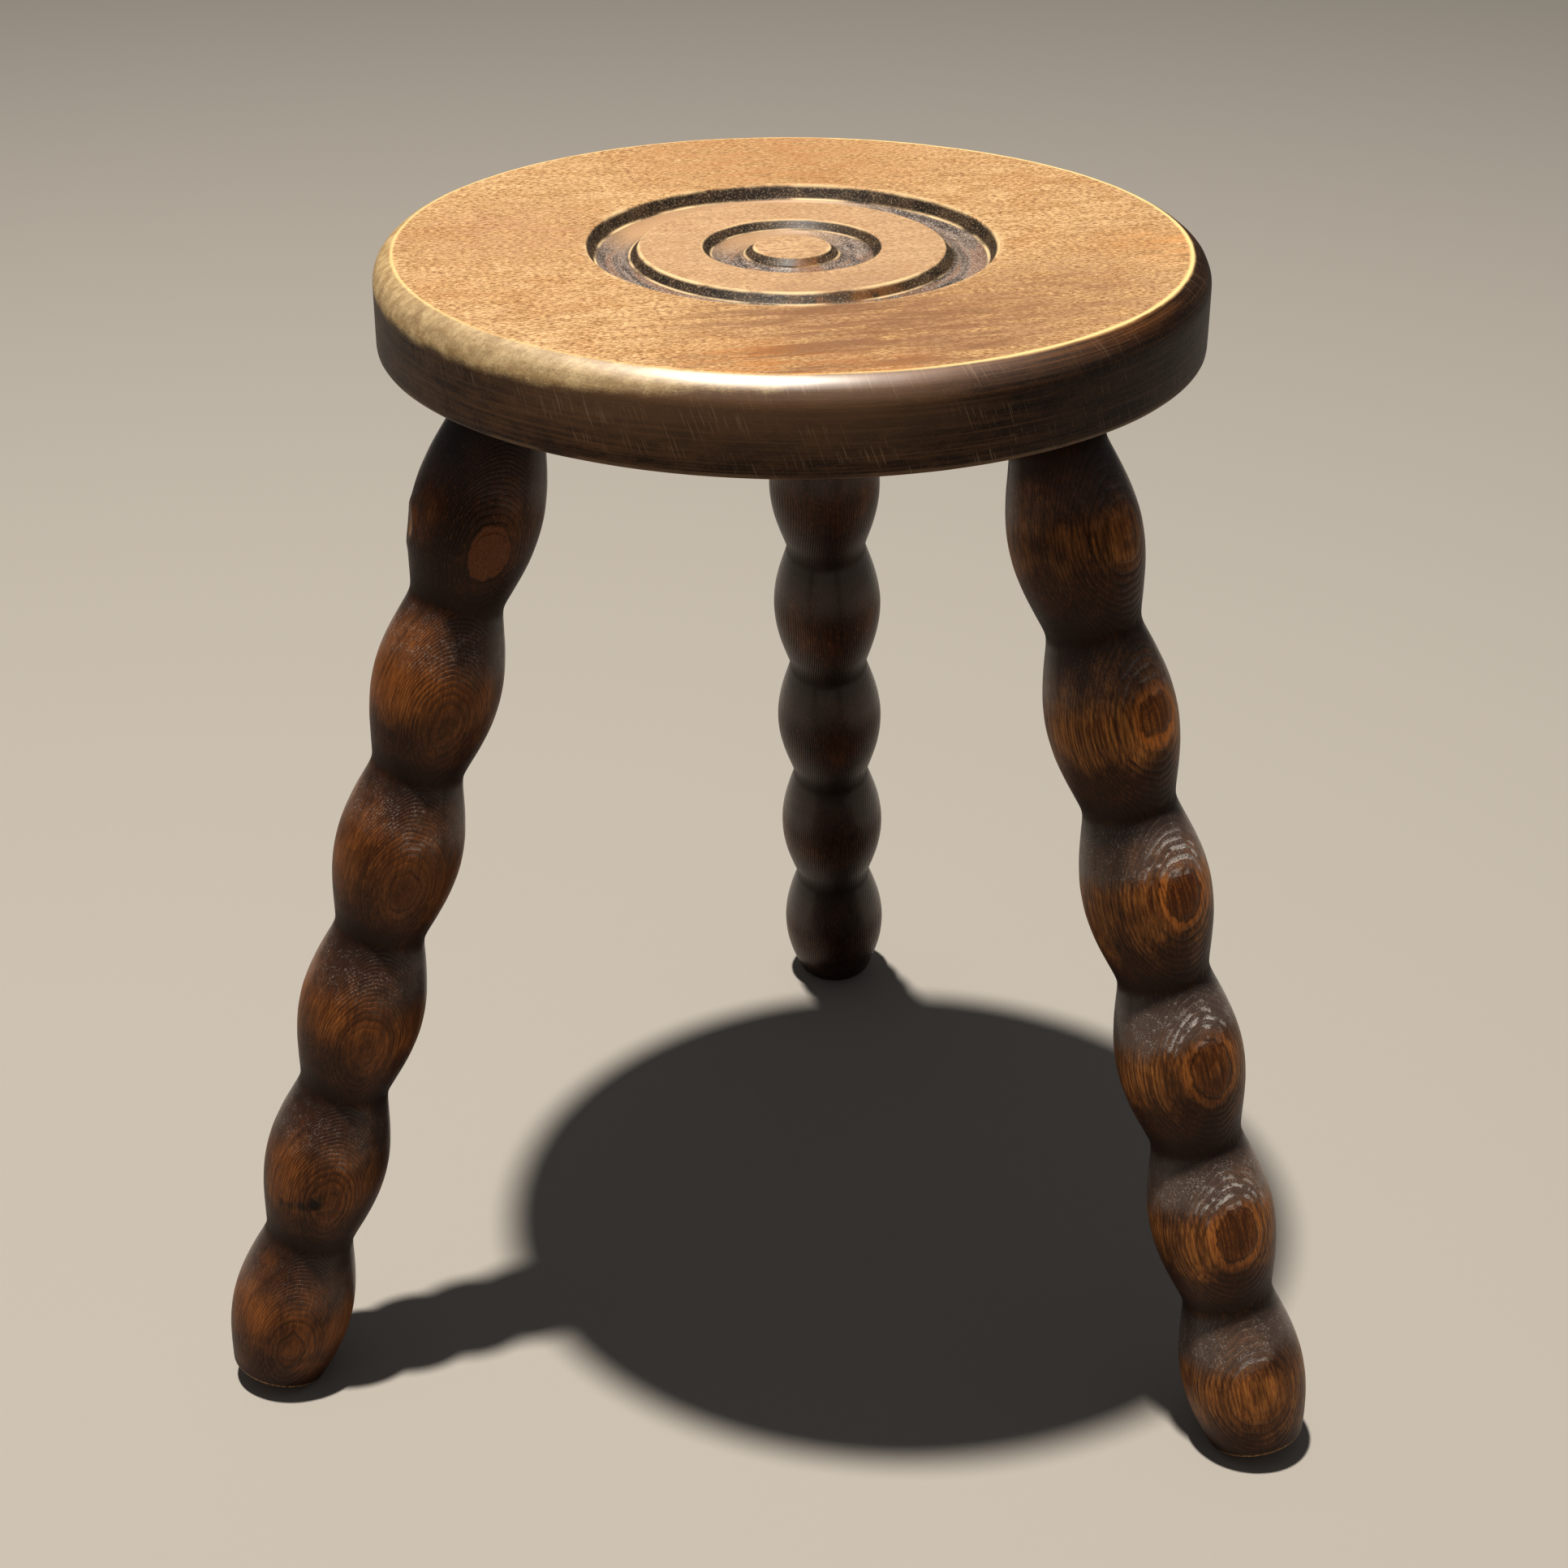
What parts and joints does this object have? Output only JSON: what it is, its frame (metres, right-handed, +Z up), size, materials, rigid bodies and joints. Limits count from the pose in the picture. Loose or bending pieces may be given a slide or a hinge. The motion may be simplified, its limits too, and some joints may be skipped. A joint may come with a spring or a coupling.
{
  "type": "milking stool",
  "caption": "Low wooden stool: thick round turned seat with ring recesses in its top, on splayed bead-turned legs tenoned into the underside.",
  "frame": {"origin": "on the floor, in the middle of the box round the stool; the seat's centre line stands in front of it", "axes": "+Z up, +Y towards the single back leg, -Y the front between the other two legs"},
  "size_m": [0.425, 0.3922, 0.44],
  "materials": {
    "seat_wood": "waxed, worn light on top, dark stained side",
    "leg_wood": "dark walnut stain, satin wax"
  },
  "bodies": {
    "root": {"seat": "seat_wood", "leg_back": "leg_wood", "leg_front_left": "leg_wood", "leg_front_right": "leg_wood"}
  },
  "joints": []
}
